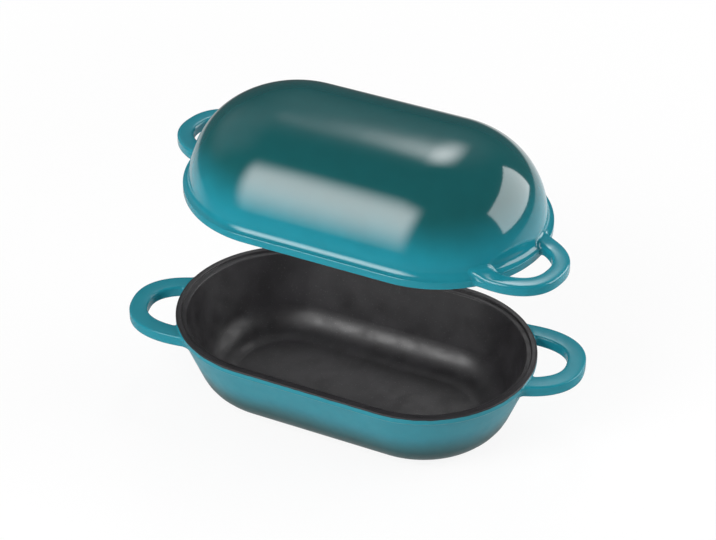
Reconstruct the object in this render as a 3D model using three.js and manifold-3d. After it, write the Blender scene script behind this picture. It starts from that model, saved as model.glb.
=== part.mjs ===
// Cast iron bread pan: an enamelled base and a domed lid, each with a black lining and two loop handles.
// Sizes are in millimetres. +Z is up, the long side runs along X and the base stands on Z = 0.
import * as THREE from 'three';
import Module from 'manifold-3d';

const wasm = await Module();
wasm.setup();

// Overall sizes
const rimLength = 280;
const rimWidth = 168;
const baseHeight = 65;
const lidHeight = 71;
const lidLift = 100; // from the base rim up to the lid's seat, as stored: held above the base
const lidBack = 20; // and a little behind it

// Wall, enamel and the gap kept between neighbouring solids
const wall = 4.8;
const coat = 0.6;
const gap = 0.3;

// Outside of the base
const draftAngle = 21; // degrees from upright
const bottomRadius = 30;
const beadHeight = 5;
const beadProud = 1.2;

// Rim of the base and the rib of the lid that drops into its rebate
const lipWidth = 4.4;
const rebateWidth = 3.8;
const rebateDepth = 2;
const ribClearance = 0.5;
const edgeBreak = 0.4;

// Outside of the lid
const flangeHeight = 6;
const flangeProud = 4.5;
const flangeEdge = 0.8;
const flangeFillet = 3;
const crownSpread = 65; // level distance over which the wall turns into the flat crown
const crownFlat = 8; // least half width of the flat crown
const dripEdge = 1.2; // outer strip of the lid's seat that the lining leaves free

// Loop handles: those of the base lie to one side of the long axis and those of the lid to the other
const handleAngle = 12; // degrees
const handleSquareness = 2.4; // exponent of the loop's outline, 2 for an ellipse
const handleRound = 20.5; // from the rim inwards to the middle of the loop's outline
const handleRoot = 22; // length of the legs inside that middle, before they are cut along the wall
const flareRun = 11; // distance from the wall over which a leg widens
const baseLoop = { reach: 35.5, span: 78, bar: 13.6, thickness: 9.2, edge: 3.2, flare: 4, rise: 0 };
const lidLoop = { reach: 31.5, span: 74, bar: 12.6, thickness: 8.6, edge: 3.2, flare: 4, rise: 2.5 };
const baseHandleDrop = 2; // top of the base handles below the rim
const lidHandleFoot = 0.2; // underside of the lid handles above the lid's seat

// Fineness of the faceted surfaces
const endSteps = 24; // around each half-round end
const cornerSteps = 6; // around the bottom corner of the base
const crownSteps = 10; // from the lid's flange to its crown
const filletSteps = 3;
const loopSteps = 24; // along a handle
const edgeSteps = 3; // around one rounded edge of a handle
const flatRun = 2; // level strip that ends a curved profile before its flat middle

const endRadius = rimWidth / 2;
const endCentre = (rimLength - rimWidth) / 2;
const lining = coat + gap;
const lidSeat = baseHeight + lidLift;

// Outline of the pan in plan, moved inwards by a distance: two half circles joined by straight sides
function outline(inset) {
  const points = [];
  for (const side of [1, -1]) {
    for (let k = 0; k <= endSteps; k++) {
      const angle = (k / endSteps - 0.5) * Math.PI;
      const x = endCentre + (endRadius - inset) * Math.cos(angle);
      const y = (endRadius - inset) * Math.sin(angle);
      points.push([side * x, side * y]);
    }
  }
  return points;
}

// Closed surface made of a chain of [inset, height] rings, with a flat cap under the first and over the last
function ringSurface(chain) {
  const count = 2 * (endSteps + 1);
  const vertices = [];
  for (const [inset, z] of chain) {
    for (const [x, y] of outline(inset)) vertices.push(x, y, z);
  }
  const firstMiddle = chain.length * count;
  const lastMiddle = firstMiddle + 1;
  vertices.push(0, 0, chain[0][1], 0, 0, chain[chain.length - 1][1]);
  const triangles = [];
  for (let i = 0; i < count; i++) {
    const next = (i + 1) % count;
    for (let ring = 0; ring < chain.length - 1; ring++) {
      const low = ring * count;
      const high = low + count;
      triangles.push(low + i, low + next, high + next, low + i, high + next, high + i);
    }
    const top = (chain.length - 1) * count;
    triangles.push(firstMiddle, next, i, lastMiddle, top + i, top + next);
  }
  return surface(vertices, triangles);
}

function surface(vertices, triangles) {
  const geometry = new THREE.BufferGeometry();
  geometry.setAttribute('position', new THREE.Float32BufferAttribute(vertices, 3));
  geometry.setIndex(triangles);
  return geometry;
}

function cut(geometry, tool) {
  const [body, cutter] = [geometry, tool].map(({ attributes, index }) => {
    const vertProperties = attributes.position.array;
    const triVerts = new Uint32Array(index.array);
    return new wasm.Manifold(new wasm.Mesh({ numProp: 3, vertProperties, triVerts }));
  });
  const { vertProperties, triVerts } = body.subtract(cutter).getMesh();
  return surface(vertProperties, [...triVerts]);
}

// Chain moved sideways by a distance, to its right-hand side, with mitred corners
function offsetChain(chain, distance) {
  const normals = [];
  for (let k = 0; k < chain.length - 1; k++) {
    const dx = chain[k + 1][0] - chain[k][0];
    const dz = chain[k + 1][1] - chain[k][1];
    const length = Math.hypot(dx, dz);
    normals.push([dz / length, -dx / length]);
  }
  return chain.map(([x, z], k) => {
    const before = normals[Math.max(k - 1, 0)];
    const after = normals[Math.min(k, normals.length - 1)];
    const scale = distance / (1 + before[0] * after[0] + before[1] * after[1]);
    return [x + (before[0] + after[0]) * scale, z + (before[1] + after[1]) * scale];
  });
}

// Chain with its sharp inner corners cut back by a distance along both sides
function breakCorners(chain, distance) {
  const result = [chain[0]];
  for (let k = 1; k < chain.length - 1; k++) {
    const [x, z] = chain[k];
    const ends = [chain[k - 1], chain[k + 1]].map(([ex, ez]) => {
      const length = Math.hypot(ex - x, ez - z);
      return [(ex - x) / length, (ez - z) / length];
    });
    const straightness = -(ends[0][0] * ends[1][0] + ends[0][1] * ends[1][1]);
    if (straightness > 0.8) result.push([x, z]);
    else for (const [dx, dz] of ends) result.push([x + dx * distance, z + dz * distance]);
  }
  result.push(chain[chain.length - 1]);
  return result;
}

// Outside of the base: bottom corner, sloping wall and the upright bead under the rim
const draft = THREE.MathUtils.degToRad(draftAngle);
const beadFoot = baseHeight - beadHeight - beadProud;
const cornerTop = bottomRadius * (1 - Math.sin(draft));
const cornerInset = beadProud + (beadFoot - cornerTop) * Math.tan(draft) + bottomRadius * Math.cos(draft);
const baseOutside = [];
for (let k = 0; k <= cornerSteps; k++) {
  const angle = Math.PI / 2 + (draft - Math.PI / 2) * (k / cornerSteps);
  const inset = cornerInset - bottomRadius * Math.cos(angle);
  baseOutside.push([inset, bottomRadius * (1 - Math.sin(angle))]);
}
baseOutside.push([beadProud, beadFoot], [0, baseHeight - beadHeight]);

// Inside of the base: lip, rebate, wall and a corner that shares its centre with the outside one
const innerRadius = bottomRadius - wall;
const ledge = [lipWidth + rebateWidth, baseHeight - rebateDepth];
const toCentre = [cornerInset - ledge[0], bottomRadius - ledge[1]];
const spread = Math.asin(innerRadius / Math.hypot(...toCentre));
const wallHeading = Math.atan2(toCentre[1], toCentre[0]) - spread;
const touchAngle = Math.PI / 2 + wallHeading;
const baseInside = [[0, baseHeight], [lipWidth, baseHeight], [lipWidth, ledge[1]], ledge];
for (let k = 0; k <= cornerSteps; k++) {
  const angle = touchAngle + (Math.PI / 2 - touchAngle) * (k / cornerSteps);
  const inset = cornerInset - innerRadius * Math.cos(angle);
  baseInside.push([inset, bottomRadius - innerRadius * Math.sin(angle)]);
}
baseInside.push([cornerInset + flatRun, wall]);

const baseCasting = ringSurface([...baseOutside, ...offsetChain(baseInside, lining)]);
const baseLiningTop = breakCorners([[0, baseHeight - coat], ...baseInside], edgeBreak).slice(1);
const baseLining = ringSurface([...offsetChain(baseInside, coat).reverse(), ...baseLiningTop]);

// Outside of the lid, measured up from its seat: flange, fillet, wall and crown
const crownReach = Math.min(crownSpread, endRadius - flangeProud - crownFlat);
const crownRise = lidHeight - flangeHeight;
const crownStart = Math.asin(flangeFillet / crownRise);
const lidWall = [];
for (let k = 0; k <= crownSteps; k++) {
  const angle = crownStart + (Math.PI / 2 - crownStart) * (k / crownSteps);
  const inset = flangeProud + crownReach * (1 - Math.cos(angle));
  lidWall.push([inset, flangeHeight + crownRise * Math.sin(angle)]);
}
lidWall.push([flangeProud + crownReach + flatRun, lidHeight]);
const lidOutside = [[0, 0], [0, flangeHeight - flangeEdge], [flangeEdge, flangeHeight]];
for (let k = 0; k < filletSteps; k++) {
  const angle = (Math.PI / 2) * (k / filletSteps);
  const inset = lidWall[0][0] - flangeFillet * (1 - Math.sin(angle));
  lidOutside.push([inset, flangeHeight + flangeFillet * (1 - Math.cos(angle))]);
}
lidOutside.push(...lidWall);

// Inside of the lid, from the crown down to the rib and out along the seat
const ribDrop = rebateDepth - ribClearance;
const ribInner = lipWidth + rebateWidth - ribClearance;
const ribOuter = lipWidth + ribClearance;
const lidInside = [
  ...offsetChain(lidWall, wall).reverse(),
  [ribInner, -ribDrop],
  [ribOuter, -ribDrop],
  [ribOuter, 0],
  [dripEdge, 0],
];

const lidIron = offsetChain(lidInside, lining);
const lidIronEnd = dripEdge - gap;
lidIron[lidIron.length - 1] = [lidIronEnd, lining];
const lidCasting = ringSurface([...lidIron, [lidIronEnd, 0], ...lidOutside]);
const lidLiningInside = breakCorners([...lidInside, [dripEdge, coat]], edgeBreak).slice(0, -1);
const lidLining = ringSurface([...lidLiningInside, ...offsetChain(lidInside, coat).reverse()]);

// Solid that fills the outside of a half and stands off it by the gap, to cut the handles along the wall
function envelope(outside, lowest, highest) {
  const rings = outside.map(([inset, z]) => [inset - gap, z]);
  const first = [rings[0][0], lowest - gap];
  const last = [rings[rings.length - 1][0], highest + gap];
  return ringSurface([first, ...rings, last]);
}
const baseEnvelope = envelope(baseOutside, 0, baseHeight);
const lidEnvelope = envelope(lidOutside, 0, lidHeight);

// Rounded rectangle of a handle's bar: [distance from its centre line, height], anticlockwise
function barSection(width, low, high, edge) {
  const radius = Math.min(edge, width / 2, (high - low) / 2);
  const points = [];
  const corners = [
    [1, low + radius, -90],
    [1, high - radius, 0],
    [-1, high - radius, 90],
    [-1, low + radius, 180],
  ];
  for (const [side, z, start] of corners) {
    for (let k = 0; k <= edgeSteps; k++) {
      const angle = THREE.MathUtils.degToRad(start + (90 * k) / edgeSteps);
      const across = side * (width / 2 - radius) + radius * Math.cos(angle);
      points.push([across, z + radius * Math.sin(angle)]);
    }
  }
  return points;
}

// Loop handle at the +X end, turned by an angle about the pan's upright axis and cut along the wall
function handle(loop, turn, foot, cutter) {
  const yaw = THREE.MathUtils.degToRad(turn);
  const turned = (u, v) => [u * Math.cos(yaw) - v * Math.sin(yaw), u * Math.sin(yaw) + v * Math.cos(yaw)];
  const sideways = endCentre * Math.sin(yaw);
  const rimDistance = endCentre * Math.cos(yaw) + Math.sqrt(endRadius ** 2 - sideways ** 2);
  const middle = rimDistance - handleRound;
  const long = handleRound + loop.reach - loop.bar / 2;
  const half = (loop.span - loop.bar) / 2;
  const path = [[middle - handleRoot, -half]];
  for (let k = 0; k <= loopSteps; k++) {
    const angle = (k / loopSteps - 0.5) * Math.PI;
    const along = Math.max(Math.cos(angle), 0) ** (2 / handleSquareness);
    const across = Math.sign(angle) * Math.abs(Math.sin(angle)) ** (2 / handleSquareness);
    path.push([middle + long * along, half * across]);
  }
  path.push([middle - handleRoot, half]);

  const vertices = [];
  path.forEach(([u, v], k) => {
    const [pu, pv] = path[Math.max(k - 1, 0)];
    const [nu, nv] = path[Math.min(k + 1, path.length - 1)];
    const length = Math.hypot(nu - pu, nv - pv);
    const normal = [(nv - pv) / length, -(nu - pu) / length];
    const [x, y] = turned(u, v);
    const fromWall = Math.hypot(x - endCentre, y) - endRadius;
    const near = 1 - THREE.MathUtils.smoothstep(fromWall, 0, flareRun);
    const top = foot + loop.thickness + loop.rise * near;
    for (const [across, z] of barSection(loop.bar + loop.flare * near, foot, top, loop.edge)) {
      vertices.push(...turned(u + normal[0] * across, v + normal[1] * across), z);
    }
  });

  const count = 4 * (edgeSteps + 1);
  const lastRing = (path.length - 1) * count;
  const triangles = [];
  for (let i = 0; i < count; i++) {
    const next = (i + 1) % count;
    for (let ring = 0; ring < path.length - 1; ring++) {
      const near = ring * count;
      const far = near + count;
      triangles.push(near + i, far + i, far + next, near + i, far + next, near + next);
    }
    if (i > 0 && next > 0) triangles.push(0, i, next, lastRing, lastRing + next, lastRing + i);
  }
  return cut(surface(vertices, triangles), cutter);
}

const baseHandleFoot = baseHeight - baseHandleDrop - baseLoop.thickness;
const baseHandle = handle(baseLoop, handleAngle, baseHandleFoot, baseEnvelope);
const lidHandle = handle(lidLoop, -handleAngle, lidHandleFoot, lidEnvelope);

const turquoise = new THREE.MeshStandardMaterial({ color: 0x2f8a9c, roughness: 0.3, metalness: 0 });
const darkTeal = new THREE.MeshStandardMaterial({ color: 0x12656d, roughness: 0.15, metalness: 0 });
const black = new THREE.MeshStandardMaterial({ color: 0x1d1c1e, roughness: 0.6, metalness: 0 });

const pan = new THREE.Group();
pan.name = 'cast_iron_bread_pan';
const base = new THREE.Group();
const lid = new THREE.Group();
lid.position.set(0, lidBack, lidSeat);
pan.add(base, lid);

function addPiece(half, name, geometry, material, turn = 0) {
  geometry.computeVertexNormals();
  const mesh = new THREE.Mesh(geometry, material);
  mesh.name = name;
  mesh.rotation.z = turn;
  half.add(mesh);
}

addPiece(base, 'base_casting', baseCasting, turquoise);
addPiece(base, 'base_lining', baseLining, black);
addPiece(base, 'base_handle_right', baseHandle, turquoise);
addPiece(base, 'base_handle_left', baseHandle, turquoise, Math.PI);
addPiece(lid, 'lid_casting', lidCasting, darkTeal);
addPiece(lid, 'lid_lining', lidLining, black);
addPiece(lid, 'lid_handle_right', lidHandle, turquoise);
addPiece(lid, 'lid_handle_left', lidHandle, turquoise, Math.PI);

export default pan;
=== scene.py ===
"""Looks of a covered cast iron bread pan: enamelled shells, black linings and loop handles."""

import math

import bmesh
import bpy
import numpy as np
from mathutils import Matrix, Vector

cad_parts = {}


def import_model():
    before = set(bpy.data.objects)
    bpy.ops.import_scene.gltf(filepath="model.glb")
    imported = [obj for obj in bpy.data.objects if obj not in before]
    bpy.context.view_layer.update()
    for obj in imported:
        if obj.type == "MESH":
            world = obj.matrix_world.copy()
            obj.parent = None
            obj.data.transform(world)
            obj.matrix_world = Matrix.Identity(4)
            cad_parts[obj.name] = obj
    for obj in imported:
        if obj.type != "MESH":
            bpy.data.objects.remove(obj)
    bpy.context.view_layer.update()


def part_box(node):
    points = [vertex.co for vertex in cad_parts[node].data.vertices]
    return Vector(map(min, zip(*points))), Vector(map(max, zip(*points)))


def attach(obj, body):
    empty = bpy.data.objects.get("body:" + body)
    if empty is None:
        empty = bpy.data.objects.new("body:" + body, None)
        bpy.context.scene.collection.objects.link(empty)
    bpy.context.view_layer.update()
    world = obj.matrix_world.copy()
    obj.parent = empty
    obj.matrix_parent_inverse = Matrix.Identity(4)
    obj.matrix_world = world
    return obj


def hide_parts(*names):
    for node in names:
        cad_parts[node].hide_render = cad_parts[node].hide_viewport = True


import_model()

# The pan and the camera's place are given in millimetres, and the studio in metres
MM = 0.001


def box_mm(node):
    low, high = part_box(node)
    return low / MM, high / MM


# Sizes that come from the frame, where the base's lining covers the whole rim
RIM = box_mm("base_lining")[1]
LID_LOW, LID_HIGH = box_mm("lid_casting")
END_RADIUS = RIM.y
END_CENTRE = RIM.x - RIM.y
BASE_HEIGHT = RIM.z
LID_BACK = (LID_LOW.y + LID_HIGH.y) / 2

# Walls, enamel and rim
WALL = 4.8
COAT = 0.6
COAT_BED = 0.9  # from the face of a lining down to the iron under it
LIP_WIDTH = 4.4
LIP_ROUNDS = (0.3, 0.8)  # outer and inner edge
REBATE_WIDTH = 3.8
REBATE_DEPTH = 2.0
REBATE_ROUNDS = (0.6, 1.2)  # corner and inner edge
LINING_EDGE = 1.3  # where the lining begins, in from the outside of the rim
LINING_LAP = 0.6  # how far the rim's iron runs in past the lining's edge
RIM_STEP = 0.03  # how far the rim's iron lies below the lining

# Outside of the base
DRAFT = math.radians(21)
BOTTOM_RADIUS = 30.0
BEAD_HEIGHT = 5.0
BEAD_PROUD = 1.2
BEAD_COVE = 2.5  # radius of the hollow under the bead
BEAD_ROUND = 1.2

# Outside of the lid
LID_HEIGHT = 71.0
LID_SEAT = LID_HIGH.z - LID_HEIGHT
FLANGE_HEIGHT = 6.0
FLANGE_PROUD = 4.5
FLANGE_SLOPE = math.radians(20)
FLANGE_ROUNDS = (0.7, 0.6)  # lower and upper edge
FLANGE_COVE = 5.6  # radius of the hollow between flange and wall
COVE_HEIGHT = 0.85 * FLANGE_COVE  # from the flange's slope up to the crown's outline
CROWN_FULLNESS = 2.5  # exponent of the crown's outline, 2 for an ellipse

# Inside of the lid
WALL_FOOT = 4.0  # where the outline that the inside wall follows begins, over the flange
RIB_CLEARANCE = 0.5
RIB_ROUNDS = (0.7, 0.6)  # inner and outer edge
SEAT_ROUND = 0.5  # corner at the rib
DRIP_EDGE = 1.2  # where the lining ends, in from the outside of the flange
DRIP_GAP = 0.3  # between the flange's iron and the lining's edge

# Loop handles
HANDLE_ANGLE = 12.0
HANDLE_SQUARENESS = 2.4  # exponent of a loop's outline, 2 for an ellipse
HANDLE_ROUND = 20.5  # how far inside the rim's outline the round of a loop begins
HANDLE_ROOT = 30.0  # straight length of a leg before that
HANDLE_SINK = 2.2  # how far a leg runs into the wall
RISE_REACH = 11.0  # how far off the wall a leg begins to rise

# Distances from the wall at which a leg has rings
LEG_GAPS = [-HANDLE_SINK, 0, 0.15, 0.4, 0.8, 1.4, 2.2, 3.2, 4.4, 6.0, 8.5, 12.0]

# Edges are the radii of the bar's outer lower, outer upper, inner upper and inner lower edge
# Fillets are the radii of a leg's spread along the wall sideways, over it and under it
BASE_LOOP = {"turn": HANDLE_ANGLE, "reach": 35.5, "span": 78.0, "bar": 13.6, "thickness": 9.2,
             "crown": 0.3, "rise": 0.0, "edges": (2.0, 1.2, 1.6, 2.0), "fillets": (4.0, 1.0, 3.5),
             "foot": BASE_HEIGHT - 11.2, "back": 0.0}
LID_LOOP = {"turn": -HANDLE_ANGLE, "reach": 31.5, "span": 74.0, "bar": 12.6, "thickness": 8.6,
            "crown": 0.5, "rise": 1.6, "edges": (1.8, 1.7, 2.2, 2.2), "fillets": (3.2, 2.8, 0.0),
            "foot": LID_SEAT + 0.2, "back": LID_BACK}

# Fineness of the meshes
END_STEPS = 72
STRAIGHT_STEPS = 14
CROWN_STEPS = 40
ARC_STEP = math.radians(9)
ARC_LEAST = 3
SUPPORT_SHARE = 0.15  # points beside an arc, as a share of its radius
SUPPORT_MOST = 0.4
SHARP = 2.0  # corners up to this radius stay sharp where nothing shows them
LOOP_STEPS = 56
LINE_STEPS = 600
EDGE_STEPS = 7
FACE_STEPS = 5
FACE_LENGTH = 1.5  # sides of a bar longer than this are split
WELD = 0.002

# Linear colours
TURQUOISE = (0.011, 0.205, 0.262, 1)
DARK_TEAL = (0.006, 0.077, 0.082, 1)
SATIN_TURQUOISE = (0.018, 0.215, 0.272, 1)
SATIN_DARK_TEAL = (0.012, 0.058, 0.062, 1)
BLACK = (0.020, 0.019, 0.021, 1)
PALE_SPECK = (0.10, 0.10, 0.105, 1)
FLOOR_WHITE = (0.86, 0.86, 0.86, 1)
WHITE = (1, 1, 1, 1)

# Heights between which the enamel fades, and how far its fade drifts up and down in patches of that size
BASE_FADE = (15, 44)
LID_FADE = (LID_SEAT + 14, LID_SEAT + 50)
FADE_DRIFT = 4.0
FADE_PATCH = 45

# Height where the base's enamel turns black at the rim, and the blur and drift of that edge
BLACK_EDGE = BASE_HEIGHT - 1.3
BLACK_BLUR = 0.12
BLACK_DRIFT = 0.5
BLACK_PATCH = 9
BLACK_DULLNESS = 0.2  # added to the roughness

# Grain of the sprayed enamel: sizes of its lumps and ranges of what varies over them
NOISE_RANGE = (0.3, 0.7)  # holds most values of a noise
TONE_PATCH = 14
TONE_RANGE = (0.97, 1.02)
GLOSS_PATCH = 6
GLOSS_RANGE = (0.9, 1.1)
WAVE_SIZE = 24
WAVE_DEPTH = 8  # in depths of a pore
PORE_SIZE = 2.6

# Grain of the black enamel
LINING_TONE_PATCH = 18
LINING_TONE_RANGE = (0.8, 1.25)
LINING_GLOSS_PATCH = 11
LINING_ROUGHNESS = (0.36, 0.5)
SPECK_SIZE = 0.9
SPECK_LEVELS = (0.72, 0.80)  # noise at which a speck begins and is full
SPECK_STRENGTH = 0.35
STIPPLE_SIZE = 1.1
STIPPLE_DEPTH = 0.05

# Floor in metres, with a shadow that fades away between two distances from the middle
FLOOR_RADIUS = 9.0
FLOOR_WALL = 3.0
FLOOR_SIDES = 96
FLOOR_ROUGHNESS = 0.8
SHADOW_REACH = (0.3, 0.8)
SHADOW_GLOW = 0.88  # share of its own light that the floor keeps near the middle

# Pools of glow painted into the floor, seen only in reflections: centre x and y, where each begins to fade
# and ends, and its level
PAINTED_GLOW_POOLS = [(0, 0, 0.15, 0.40, 0.55), (0.5, 0.8, 0.5, 0.9, 1.0), (-0.6, 0.2, 0.15, 0.45, 0.8)]
# Level of the floor's painted glow outside the pools, seen only in reflections
PAINTED_GLOW_DIM = 0.1

# Light of the room at the horizon and overhead, and the upward part of a direction that counts as overhead
ROOM_LEVELS = (0.16, 0.10)
ROOM_OVERHEAD = 0.5

# Height over the middle of the floor that all lamps face
LAMP_AIM = 0.15

# Azimuth, elevation, distance, width and height, radiance, and soft share of sides, foot and top
LAMPS = {
    "front_softbox": (-22, 26, 1.3, (1.2, 2.0), 8.6, (0.35, 0.6, 0.35)),
    "left_panel": (-105, 35, 1.6, (2.0, 2.0), 0.4, (0.4, 0.4, 0.4)),
    "rear_panel": (-160, 45, 1.8, (2.4, 2.0), 0.40, (0.5, 0.5, 0.5)),
    "rear_softbox": (-148, 50, 1.6, (0.5, 0.75), 0.7, (0.5, 0.5, 0.5)),
    "rear_spot": (-163, 51, 1.6, (0.65, 1.05), 7.5, (0.5, 0.5, 0.5)),
    "right_softbox": (121, 21, 1.4, (1.6, 0.86), 5.4, (0.03, 0.03, 0.03)),
}

# Camera of the photograph, aimed a little to the right of the middle of the base's rim and over it
PHOTO_WIDTH = 716
FOCAL_PIXELS = 2500
SENSOR_WIDTH = 36
CLIP_END = 50
VIEW_AZIMUTH = 25.62
VIEW_ELEVATION = 35.3
VIEW_DISTANCE = 1859.0
VIEW_RIGHT = 2.5
VIEW_UP = 43.4


# Profiles: chains of (inset from the rim's outline, height) points
def rounded(corners, smallest=0.0):
    """Chain through (inset, height, radius) corners, with an arc at each radius over the smallest."""
    points = [Vector(corners[0][:2])]
    for before, corner, after in zip(corners, corners[1:], corners[2:]):
        here = Vector(corner[:2])
        radius = corner[2]
        if radius <= smallest:
            points.append(here)
            continue
        back = (Vector(before[:2]) - here).normalized()
        onward = (Vector(after[:2]) - here).normalized()
        half = back.angle(onward) / 2
        reach = radius / math.tan(half)
        centre = here + (back + onward).normalized() * radius / math.sin(half)
        spoke = here + back * reach - centre
        side = 1 if back.cross(onward) < 0 else -1
        count = max(ARC_LEAST, math.ceil((math.pi - 2 * half) / ARC_STEP))
        support = min(SUPPORT_SHARE * radius, SUPPORT_MOST)
        points.append(here + back * (reach + support))
        for k in range(count + 1):
            turn = Matrix.Rotation(side * (math.pi - 2 * half) * k / count, 2)
            points.append(centre + turn @ spoke)
        points.append(here + onward * (reach + support))
    points.append(Vector(corners[-1][:2]))
    return points


def offset(chain, distance):
    """Chain moved to its right-hand side by a distance, with mitred corners."""
    steps = [(after - before).normalized() for before, after in zip(chain, chain[1:])]
    normals = [Vector((step.y, -step.x)) for step in steps]
    before = [normals[0]] + normals
    after = normals + [normals[-1]]
    return [p + (a + b) * distance / (1 + a.dot(b)) for p, a, b in zip(chain, before, after)]


def base_outside():
    """Base from the middle of its bottom, up the wall and over the bead to the lining's edge."""
    foot = BASE_HEIGHT - BEAD_HEIGHT - BEAD_PROUD
    corner = BEAD_PROUD + foot * math.tan(DRAFT)
    return rounded([
        (END_RADIUS, 0, 0),
        (corner, 0, BOTTOM_RADIUS),
        (BEAD_PROUD, foot, BEAD_COVE),
        (0, BASE_HEIGHT - BEAD_HEIGHT, BEAD_ROUND),
        (0, BASE_HEIGHT - RIM_STEP, BEAD_ROUND),
        (LINING_EDGE + LINING_LAP, BASE_HEIGHT - RIM_STEP, 0),
    ])


def base_inside_corners():
    """Lip, rebate and wall of the base, from the lining's edge to the middle of the floor."""
    foot = BASE_HEIGHT - BEAD_HEIGHT - BEAD_PROUD
    corner_top = BOTTOM_RADIUS * (1 - math.sin(DRAFT))
    centre = Vector((
        BEAD_PROUD + (foot - corner_top) * math.tan(DRAFT) + BOTTOM_RADIUS * math.cos(DRAFT),
        BOTTOM_RADIUS,
    ))
    ledge = Vector((LIP_WIDTH + REBATE_WIDTH, BASE_HEIGHT - REBATE_DEPTH))
    to_centre = centre - ledge
    radius = BOTTOM_RADIUS - WALL
    heading = math.atan2(to_centre.y, to_centre.x) - math.asin(radius / to_centre.length)
    floor_corner = ledge.x + (WALL - ledge.y) / math.tan(heading)
    return [
        (LINING_EDGE, BASE_HEIGHT, LIP_ROUNDS[0]),
        (LIP_WIDTH, BASE_HEIGHT, LIP_ROUNDS[1]),
        (LIP_WIDTH, ledge.y, REBATE_ROUNDS[0]),
        (ledge.x, ledge.y, REBATE_ROUNDS[1]),
        (floor_corner, WALL, radius),
        (END_RADIUS, WALL, 0),
    ]


def crown(start_height):
    """Quarter of a superellipse, from a height of the wall over the flange to the middle of its top."""
    rise = LID_HEIGHT - FLANGE_HEIGHT
    spread = END_RADIUS - FLANGE_PROUD
    start = math.asin(start_height / rise)
    points = []
    for k in range(CROWN_STEPS + 1):
        angle = start + (math.pi / 2 - start) * k / CROWN_STEPS
        from_middle = spread * max(math.cos(angle), 0) ** (2 / CROWN_FULLNESS)
        points.append(Vector((END_RADIUS - from_middle, FLANGE_HEIGHT + rise * math.sin(angle))))
    return points


def lid_outside():
    """Lid from the lining's edge, round the flange and up the wall to the middle of its top."""
    foot = FLANGE_HEIGHT + FLANGE_PROUD * math.tan(FLANGE_SLOPE)
    wall = crown(foot + COVE_HEIGHT - FLANGE_HEIGHT)
    flange = rounded([
        (DRIP_EDGE - DRIP_GAP, 0, 0),
        (0, 0, FLANGE_ROUNDS[0]),
        (0, FLANGE_HEIGHT, FLANGE_ROUNDS[1]),
        (FLANGE_PROUD, foot, FLANGE_COVE),
        (*wall[0], 0),
    ])
    return flange + wall[1:]


def lid_inside(smallest):
    """Inside of the lid, from the middle of its top down the wall and out over rib and seat."""
    wall = offset(crown(WALL_FOOT), WALL)[::-1]
    rib_inner = LIP_WIDTH + REBATE_WIDTH - RIB_CLEARANCE
    rib_outer = LIP_WIDTH + RIB_CLEARANCE
    drop = REBATE_DEPTH - RIB_CLEARANCE
    rib = rounded([
        (*wall[-1], 0),
        (rib_inner, -drop, RIB_ROUNDS[0]),
        (rib_outer, -drop, RIB_ROUNDS[1]),
        (rib_outer, 0, SEAT_ROUND),
        (DRIP_EDGE, 0, 0),
    ], smallest)
    return wall + rib[1:]


# Meshes
def add_object(name, data):
    thing = bpy.data.objects.new(name, data)
    bpy.context.scene.collection.objects.link(thing)
    return thing


def new_piece(name, vertices, faces):
    """Smooth mesh object from vertices in millimetres, with points that coincide welded."""
    mesh = bpy.data.meshes.new(name)
    mesh.from_pydata([tuple(v) for v in np.asarray(vertices) * MM], [], faces)
    work = bmesh.new()
    work.from_mesh(mesh)
    bmesh.ops.remove_doubles(work, verts=work.verts, dist=WELD * MM)
    bmesh.ops.recalc_face_normals(work, faces=work.faces)
    work.to_mesh(mesh)
    work.free()
    mesh.shade_smooth()
    return add_object(name, mesh)


def grid_faces(rows, columns):
    """Quads between neighbouring rings of a closed tube."""
    faces = []
    for row in range(rows - 1):
        for i in range(columns):
            after = (i + 1) % columns
            low, high = row * columns, (row + 1) * columns
            faces.append((low + i, low + after, high + after, high + i))
    return faces


def outline_places():
    """Centre x and outward direction at each place round the rim's outline, anticlockwise."""
    places = []
    for side in (1, -1):
        for k in range(END_STEPS + 1):
            angle = (k / END_STEPS - 0.5) * math.pi
            places.append((side * END_CENTRE, side * math.cos(angle), side * math.sin(angle)))
        for k in range(1, STRAIGHT_STEPS):
            places.append((side * END_CENTRE * (1 - 2 * k / STRAIGHT_STEPS), 0, side))
    return np.array(places)


def loft(name, chain, back=0.0, seat=0.0):
    """Closed solid with rings like the rim's outline, from a chain with both ends on the middle line."""
    places = outline_places()
    rings = []
    for inset, height in chain:
        reach = max(END_RADIUS - inset, 0)
        x = places[:, 0] + reach * places[:, 1]
        y = back + reach * places[:, 2]
        rings.append(np.stack([x, y, np.full(len(places), seat + height)], 1))
    return new_piece(name, np.concatenate(rings), grid_faces(len(chain), len(places)))


def base_shell():
    inside = offset(rounded(base_inside_corners(), SHARP), COAT_BED)
    return loft("base_shell", base_outside() + inside[1:])


def base_liner():
    face = rounded([(LINING_EDGE, BASE_HEIGHT - COAT, 0)] + base_inside_corners())
    back = offset(rounded(base_inside_corners(), SHARP), COAT)
    return loft("base_liner", back[::-1] + face)


def lid_shell():
    inside = offset(lid_inside(SHARP), COAT_BED)
    inside[-1] = Vector((DRIP_EDGE - DRIP_GAP, COAT_BED))
    return loft("lid_shell", inside + lid_outside(), LID_BACK, LID_SEAT)


def lid_liner():
    back = offset(lid_inside(SHARP), COAT)
    return loft("lid_liner", lid_inside(smallest=0) + back[::-1], LID_BACK, LID_SEAT)


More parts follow.
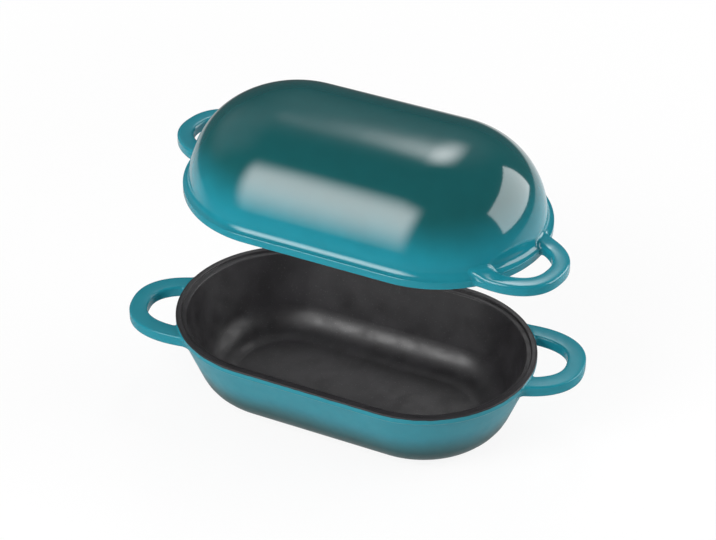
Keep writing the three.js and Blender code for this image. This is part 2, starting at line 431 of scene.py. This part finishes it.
# Loop handles
def bar_section(loop):
    """Closed outline of a bar as (across, height) points, anticlockwise from its lower outer edge."""
    half, top = loop["bar"] / 2, loop["thickness"]
    places = [(1, 0, -90), (1, top, 0), (-1, top, 90), (-1, 0, 180)]
    points = []
    for (side, level, start), radius in zip(places, loop["edges"]):
        centre = Vector((side * (half - radius), level + (radius if level == 0 else -radius)))
        for k in range(EDGE_STEPS + 1):
            angle = math.radians(start + 90 * k / EDGE_STEPS)
            points.append(centre + radius * Vector((math.cos(angle), math.sin(angle))))
    section = []
    for here, after in zip(points, points[1:] + points[:1]):
        count = FACE_STEPS if (after - here).length > FACE_LENGTH else 1
        section += [here.lerp(after, k / count) for k in range(count)]
    section = np.array(section)
    on_top = np.clip((section[:, 1] - top / 2) / (top / 2), 0, 1)
    section[:, 1] += loop["crown"] * (1 - (section[:, 0] / half) ** 2) * on_top
    return section


def right_hand(steps):
    """Unit vectors to the right of steps in a plane."""
    steps = steps / np.linalg.norm(steps, axis=1)[:, None]
    return np.stack([steps[:, 1], -steps[:, 0]], 1)


def sample(values, stations, wanted):
    """Plane vectors at the wanted places, from their values at rising stations."""
    return np.stack([np.interp(wanted, stations, values[:, axis]) for axis in (0, 1)], 1)


def loop_line(loop):
    """Even points on the middle line of a handle's bar, from leg to leg, and its outward sides there."""
    yaw = math.radians(loop["turn"])
    rim = END_CENTRE * math.cos(yaw) + math.sqrt(END_RADIUS**2 - (END_CENTRE * math.sin(yaw)) ** 2)
    middle = rim - HANDLE_ROUND
    length = HANDLE_ROUND + loop["reach"] - loop["bar"] / 2
    half = (loop["span"] - loop["bar"]) / 2
    angle = np.linspace(-np.pi / 2, np.pi / 2, LINE_STEPS)
    along = middle + length * np.abs(np.cos(angle)) ** (2 / HANDLE_SQUARENESS)
    across = half * np.sign(angle) * np.abs(np.sin(angle)) ** (2 / HANDLE_SQUARENESS)
    along = np.concatenate([[middle - HANDLE_ROOT], along, [middle - HANDLE_ROOT]])
    across = np.concatenate([[-half], across, [half]])
    x = along * np.cos(yaw) - across * np.sin(yaw)
    y = along * np.sin(yaw) + across * np.cos(yaw)
    line = np.stack([x, y], 1)
    run = np.concatenate([[0], np.cumsum(np.linalg.norm(np.diff(line, axis=0), axis=1))])
    line = sample(line, run, np.linspace(0, run[-1], LINE_STEPS))
    return line, right_hand(np.gradient(line, axis=0))


def wall_by_height(chain, seat):
    """Function that gives the inset of an outside at a height."""
    heights = np.array([p.y for p in chain]) + seat
    insets = np.array([p.x for p in chain])
    order = np.argsort(heights, kind="stable")
    return lambda height: np.interp(height, heights[order], insets[order])


def fillet(gap, radius):
    """How far a leg spreads at a gap from the wall, for a hollow round of that radius."""
    if radius == 0:
        return 0.0
    near = min(max(gap / radius, 0), 1)
    return radius * (1 - math.sqrt(1 - (1 - near) ** 2))


def leg_rise(loop, gap, height):
    """How far a leg's upper side rises at a gap from the wall; its foot stays level."""
    near = 1 - min(max(gap / RISE_REACH, 0), 1)
    return loop["rise"] * near * near * (3 - 2 * near) * max(height / loop["thickness"], 0)


def ring_stations(distance):
    """Steps of a line where a handle has its rings, and their gaps from the wall.

    Rings crowd where the two legs meet the wall. Those between the legs are even and count as clear of it.
    """
    tip = len(distance) // 2
    steps = np.arange(len(distance))
    first = np.interp(LEG_GAPS, distance[:tip], steps[:tip])
    last = np.interp(LEG_GAPS, distance[:tip:-1], steps[:tip:-1])[::-1]
    loop_share = np.linspace(0, 1, LOOP_STEPS + 1)[1:-1]
    between = first[-1] + (last[0] - first[-1]) * loop_share
    gaps = np.concatenate([LEG_GAPS, np.full(len(between), np.inf), LEG_GAPS[::-1]])
    return np.concatenate([first, between, last]), gaps


def handle_column(loop, wall, line, side, point, normal):
    """Vertices along a handle, from leg to leg, for a point of the bar's section and its normal."""
    across, height = point
    out, up = normal
    sideways, over, under = loop["fillets"]
    level = loop["foot"] + height
    places = line + side * across
    outward = places - np.array([END_CENTRE, 0])
    reach = np.linalg.norm(outward, axis=1)
    outward /= reach[:, None]
    # The part of each side that runs along the wall
    spread = side - outward * np.sum(side * outward, 1)[:, None]
    stations, gaps = ring_stations(reach - (END_RADIUS - wall(level)))
    steps = np.arange(len(line))
    sampled = [sample(values, steps, stations) for values in (places, spread, outward)]
    column = []
    for gap, place, along, away in zip(gaps, *sampled):
        wide = fillet(gap, sideways) * out
        tall = fillet(gap, over if up > 0 else under) * up + leg_rise(loop, gap, height)
        lean = wall(level + tall) - wall(level)
        column.append((*(place + along * wide - away * lean), level + tall))
    return column


def loop_handle(name, loop, wall, end):
    """Handle at the +X or -X end: a bar swept round its loop whose legs spread out along the wall."""
    section = bar_section(loop)
    normals = right_hand(np.roll(section, -1, 0) - np.roll(section, 1, 0))
    line, side = loop_line(loop)
    columns = [handle_column(loop, wall, line, side, *pair) for pair in zip(section, normals)]
    rings = np.array(columns).transpose(1, 0, 2).reshape(-1, 3)
    rings[:, :2] *= end
    rings[:, 1] += loop["back"]
    count = len(section)
    rows = len(rings) // count
    faces = grid_faces(rows, count)
    faces.append(tuple(range(count)))
    faces.append(tuple(range((rows - 1) * count, rows * count)))
    return new_piece(name, rings, faces)


# Materials
class Nodes:
    """Short calls to add nodes to a tree and join them."""

    def __init__(self, tree):
        self.tree = tree

    def join(self, node, values):
        for socket, value in values.items():
            if isinstance(value, bpy.types.NodeSocket):
                self.tree.links.new(value, node.inputs[socket])
            else:
                node.inputs[socket].default_value = value

    def add(self, kind, values, **settings):
        node = self.tree.nodes.new("ShaderNode" + kind)
        for name, value in settings.items():
            setattr(node, name, value)
        self.join(node, values)
        return node

    def place(self):
        return self.add("TexCoord", {}).outputs["Object"]

    def axes(self, vector):
        return self.add("SeparateXYZ", {"Vector": vector}).outputs

    def distance(self, place, point):
        return self.add("VectorMath", {0: place, 1: point}, operation="DISTANCE").outputs["Value"]

    def maths(self, operation, one, two):
        return self.add("Math", {0: one, 1: two}, operation=operation).outputs[0]

    def mix(self, share, one, two):
        return self.add("MixRGB", {"Fac": share, "Color1": one, "Color2": two}).outputs["Color"]

    def span(self, value, start, end, low=0.0, high=1.0, kind="SMOOTHSTEP"):
        """Value run from low to high between a start and an end."""
        values = {"Value": value, "From Min": start, "From Max": end, "To Min": low, "To Max": high}
        return self.add("MapRange", values, interpolation_type=kind).outputs["Result"]

    def noise(self, place, size, detail):
        """Noise whose lumps are about that many millimetres across."""
        values = {"Vector": place, "Scale": 1 / (size * MM), "Detail": detail}
        return self.add("TexNoise", values).outputs["Fac"]

    def patches(self, place, size, low, high, detail):
        """Value that goes from low to high and back in patches of about that many millimetres."""
        return self.span(self.noise(place, size, detail), *NOISE_RANGE, low, high)

    def drifting_height(self, place, size, drift, detail):
        """Height in metres, moved up and down in patches by up to that many millimetres."""
        moved = self.span(self.noise(place, size, detail), 0, 1, -drift * MM, drift * MM, "LINEAR")
        return self.maths("ADD", self.axes(place)["Z"], moved)

    def bump(self, height, depth, normal=None):
        """Normal for a height whose full range is that many millimetres deep."""
        values = {"Height": height, "Distance": depth * MM}
        if normal:
            values["Normal"] = normal
        return self.add("Bump", values).outputs["Normal"]

    def seen(self):
        """1 for rays from the camera and for those that a glossy or clear surface sends on."""
        rays = self.add("LightPath", {}).outputs
        either = self.maths("MAXIMUM", rays["Is Glossy Ray"], rays["Is Transmission Ray"])
        return self.maths("MAXIMUM", rays["Is Camera Ray"], either)


def new_material(name):
    material = bpy.data.materials.new(name)
    material.use_nodes = True
    return material, Nodes(material.node_tree), material.node_tree.nodes["Principled BSDF"]


def fade(nodes, place, heights, below, above):
    """Colour that turns from one to another between two heights, softly and a little unevenly."""
    height = nodes.drifting_height(place, FADE_PATCH, FADE_DRIFT, detail=2)
    low, high = heights
    return nodes.mix(nodes.span(height, low * MM, high * MM), below, above)


def mottled(nodes, place, colour, size, tones):
    """Colour that is darker and lighter in patches."""
    tone = nodes.patches(place, size, *tones, detail=3)
    return nodes.add("HueSaturation", {"Color": colour, "Value": tone}).outputs["Color"]


def sprayed(nodes, place, surface, colour, specular, pore):
    """Surface of sprayed enamel in a colour, with slow waves and pores that many millimetres deep."""
    waves = nodes.bump(nodes.noise(place, WAVE_SIZE, detail=1), WAVE_DEPTH * pore)
    pores = nodes.bump(nodes.noise(place, PORE_SIZE, detail=2), pore, waves)
    nodes.join(surface, {"Base Color": colour, "Normal": pores, "Specular IOR Level": specular})


def gloss(nodes, place, roughness):
    """Roughness that is a little lower and higher in patches."""
    low, high = GLOSS_RANGE
    return nodes.patches(place, GLOSS_PATCH, roughness * low, roughness * high, detail=4)


def base_enamel():
    """Satin enamel, dark at the bottom and turquoise above, with a black edge at the rim."""
    material, nodes, surface = new_material("base_enamel")
    place = nodes.place()
    colour = fade(nodes, place, BASE_FADE, SATIN_DARK_TEAL, SATIN_TURQUOISE)
    colour = mottled(nodes, place, colour, TONE_PATCH, TONE_RANGE)
    height = nodes.drifting_height(place, BLACK_PATCH, BLACK_DRIFT, detail=3)
    black = nodes.span(height, (BLACK_EDGE - BLACK_BLUR) * MM, (BLACK_EDGE + BLACK_BLUR) * MM)
    sprayed(nodes, place, surface, nodes.mix(black, colour, BLACK), specular=0.3, pore=0.002)
    duller = nodes.maths("MULTIPLY", black, BLACK_DULLNESS)
    nodes.join(surface, {"Roughness": nodes.maths("ADD", gloss(nodes, place, 0.34), duller)})
    return material


def lid_enamel():
    """High-gloss enamel, turquoise at the flange and dark teal at the top."""
    material, nodes, surface = new_material("lid_enamel")
    place = nodes.place()
    colour = fade(nodes, place, LID_FADE, TURQUOISE, DARK_TEAL)
    colour = mottled(nodes, place, colour, TONE_PATCH, TONE_RANGE)
    sprayed(nodes, place, surface, colour, specular=0.5, pore=0.008)
    nodes.join(surface, {"Roughness": gloss(nodes, place, 0.085)})
    return material


def handle_enamel(name, roughness, specular, pore):
    """Plain turquoise enamel."""
    material, nodes, surface = new_material(name)
    place = nodes.place()
    colour = mottled(nodes, place, TURQUOISE, TONE_PATCH, TONE_RANGE)
    sprayed(nodes, place, surface, colour, specular, pore)
    nodes.join(surface, {"Roughness": gloss(nodes, place, roughness)})
    return material


def black_enamel():
    """Satin black enamel: fine stipple, small pale specks and patches of duller surface."""
    material, nodes, surface = new_material("satin_black_enamel")
    place = nodes.place()
    colour = mottled(nodes, place, BLACK, LINING_TONE_PATCH, LINING_TONE_RANGE)
    specks = nodes.span(nodes.noise(place, SPECK_SIZE, detail=0), *SPECK_LEVELS, 0, SPECK_STRENGTH)
    colour = nodes.mix(specks, colour, PALE_SPECK)
    roughness = nodes.patches(place, LINING_GLOSS_PATCH, *LINING_ROUGHNESS, detail=4)
    stipple = nodes.bump(nodes.noise(place, STIPPLE_SIZE, detail=3), STIPPLE_DEPTH)
    nodes.join(surface, {"Base Color": colour, "Roughness": roughness, "Normal": stipple})
    return material


def dress(piece, node, body, material):
    piece.data.materials.append(material)
    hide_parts(node)
    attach(piece, body)


# Studio
def sweep_mesh():
    """Round floor whose edge stands up as a low wall."""
    angles = [2 * math.pi * k / FLOOR_SIDES for k in range(FLOOR_SIDES)]
    ring = [(FLOOR_RADIUS * math.cos(angle), FLOOR_RADIUS * math.sin(angle)) for angle in angles]
    vertices = [(x, y, 0) for x, y in ring] + [(x, y, FLOOR_WALL) for x, y in ring]
    mesh = bpy.data.meshes.new("floor")
    mesh.from_pydata(vertices, [], [tuple(range(FLOOR_SIDES))] + grid_faces(2, FLOOR_SIDES))
    return mesh


def floor():
    """Pale floor: white to the camera with a faint shadow, and in reflections a painted glow, brightest in
    a few pools.
    """
    ground = add_object("floor", sweep_mesh())
    material, nodes, surface = new_material("pale_floor")
    values = {"Base Color": FLOOR_WHITE, "Roughness": FLOOR_ROUGHNESS, "Specular IOR Level": 0.0}
    nodes.join(surface, values)
    place = nodes.place()
    strength = nodes.add("LightPath", {}).outputs["Is Camera Ray"]
    # Painted glow that shows only in reflections, in pools over a dim level
    for x, y, inner, outer, level in PAINTED_GLOW_POOLS:
        painted_glow_pool = nodes.span(nodes.distance(place, (x, y, 0)), inner, outer, level, PAINTED_GLOW_DIM)
        strength = nodes.maths("MAXIMUM", strength, painted_glow_pool)
    painted_glow = nodes.add("Emission", {"Color": WHITE, "Strength": strength}).outputs[0]
    kept = nodes.span(nodes.distance(place, (0, 0, 0)), *SHADOW_REACH, SHADOW_GLOW, 1.0)
    share = nodes.maths("MULTIPLY", nodes.seen(), kept)
    blend = nodes.add("MixShader", {0: share, 1: surface.outputs[0], 2: painted_glow})
    nodes.join(nodes.tree.nodes["Material Output"], {"Surface": blend.outputs[0]})
    ground.data.materials.append(material)


def world():
    """Dim room, a little paler near the horizon."""
    room = bpy.data.worlds.new("room")
    room.use_nodes = True
    nodes = Nodes(room.node_tree)
    upward = nodes.axes(nodes.add("TexCoord", {}).outputs["Generated"])["Z"]
    strength = nodes.span(upward, 0.0, ROOM_OVERHEAD, *ROOM_LEVELS)
    nodes.join(nodes.tree.nodes["Background"], {"Color": WHITE, "Strength": strength})
    bpy.context.scene.world = room


def direction(azimuth, elevation):
    """Unit vector at an azimuth from the front towards the right and an elevation, in degrees."""
    az, el = math.radians(azimuth), math.radians(elevation)
    return Vector((math.sin(az) * math.cos(el), -math.cos(az) * math.cos(el), math.sin(el)))


def lamp_fade(nodes, soft):
    """Strength over a lamp's face, which falls off over shares of it at its sides, its foot and its top."""
    sides, foot, top = soft
    place = nodes.axes(nodes.add("NewGeometry", {}).outputs["Parametric"])
    across = nodes.maths("MULTIPLY", nodes.span(place["X"], 0, sides), nodes.span(place["X"], 1, 1 - sides))
    upward = nodes.maths("MULTIPLY", nodes.span(place["Y"], 0, foot), nodes.span(place["Y"], 1, 1 - top))
    return nodes.maths("MULTIPLY", across, upward)


def softbox(name, azimuth, elevation, distance, size, radiance, soft):
    """Area lamp that faces the pan."""
    data = bpy.data.lights.new(name, "AREA")
    data.shape = "RECTANGLE"
    data.size, data.size_y = size
    data.energy = radiance * math.pi * data.size * data.size_y
    data.use_nodes = True
    nodes = Nodes(data.node_tree)
    nodes.join(nodes.tree.nodes["Emission"], {"Strength": lamp_fade(nodes, soft)})
    lamp = add_object(name, data)
    lamp.location = Vector((0, 0, LAMP_AIM)) + direction(azimuth, elevation) * distance
    lamp.rotation_euler = direction(azimuth, elevation).to_track_quat("Z", "Y").to_euler()
    lamp.visible_camera = False


def camera():
    back = direction(VIEW_AZIMUTH, VIEW_ELEVATION)
    right = direction(VIEW_AZIMUTH + 90, 0)
    up = back.cross(right)
    data = bpy.data.cameras.new("camera")
    data.sensor_width = SENSOR_WIDTH
    data.lens = FOCAL_PIXELS * SENSOR_WIDTH / PHOTO_WIDTH
    data.clip_end = CLIP_END
    eye = add_object("camera", data)
    place = Vector((0, 0, BASE_HEIGHT)) + back * VIEW_DISTANCE + right * VIEW_RIGHT + up * VIEW_UP
    turn = Matrix((right, up, back)).transposed()
    eye.matrix_world = Matrix.Translation(place * MM) @ turn.to_4x4()
    bpy.context.scene.camera = eye


# The pan
lining = black_enamel()
base_handles = handle_enamel("base_handle_enamel", roughness=0.24, specular=0.35, pore=0.002)
lid_handles = handle_enamel("lid_handle_enamel", roughness=0.12, specular=0.5, pore=0.006)
base_wall = wall_by_height(base_outside(), 0)
lid_wall = wall_by_height(lid_outside(), LID_SEAT)

dress(base_shell(), "base_casting", "base", base_enamel())
dress(base_liner(), "base_lining", "base", lining)
dress(lid_shell(), "lid_casting", "lid", lid_enamel())
dress(lid_liner(), "lid_lining", "lid", lining)
for word, end in (("right", 1), ("left", -1)):
    grip = loop_handle("base_loop_" + word, BASE_LOOP, base_wall, end)
    dress(grip, "base_handle_" + word, "base", base_handles)
    grip = loop_handle("lid_loop_" + word, LID_LOOP, lid_wall, end)
    dress(grip, "lid_handle_" + word, "lid", lid_handles)

floor()
world()
for name, values in LAMPS.items():
    softbox(name, *values)
camera()
bpy.context.scene.view_settings.view_transform = "Standard"
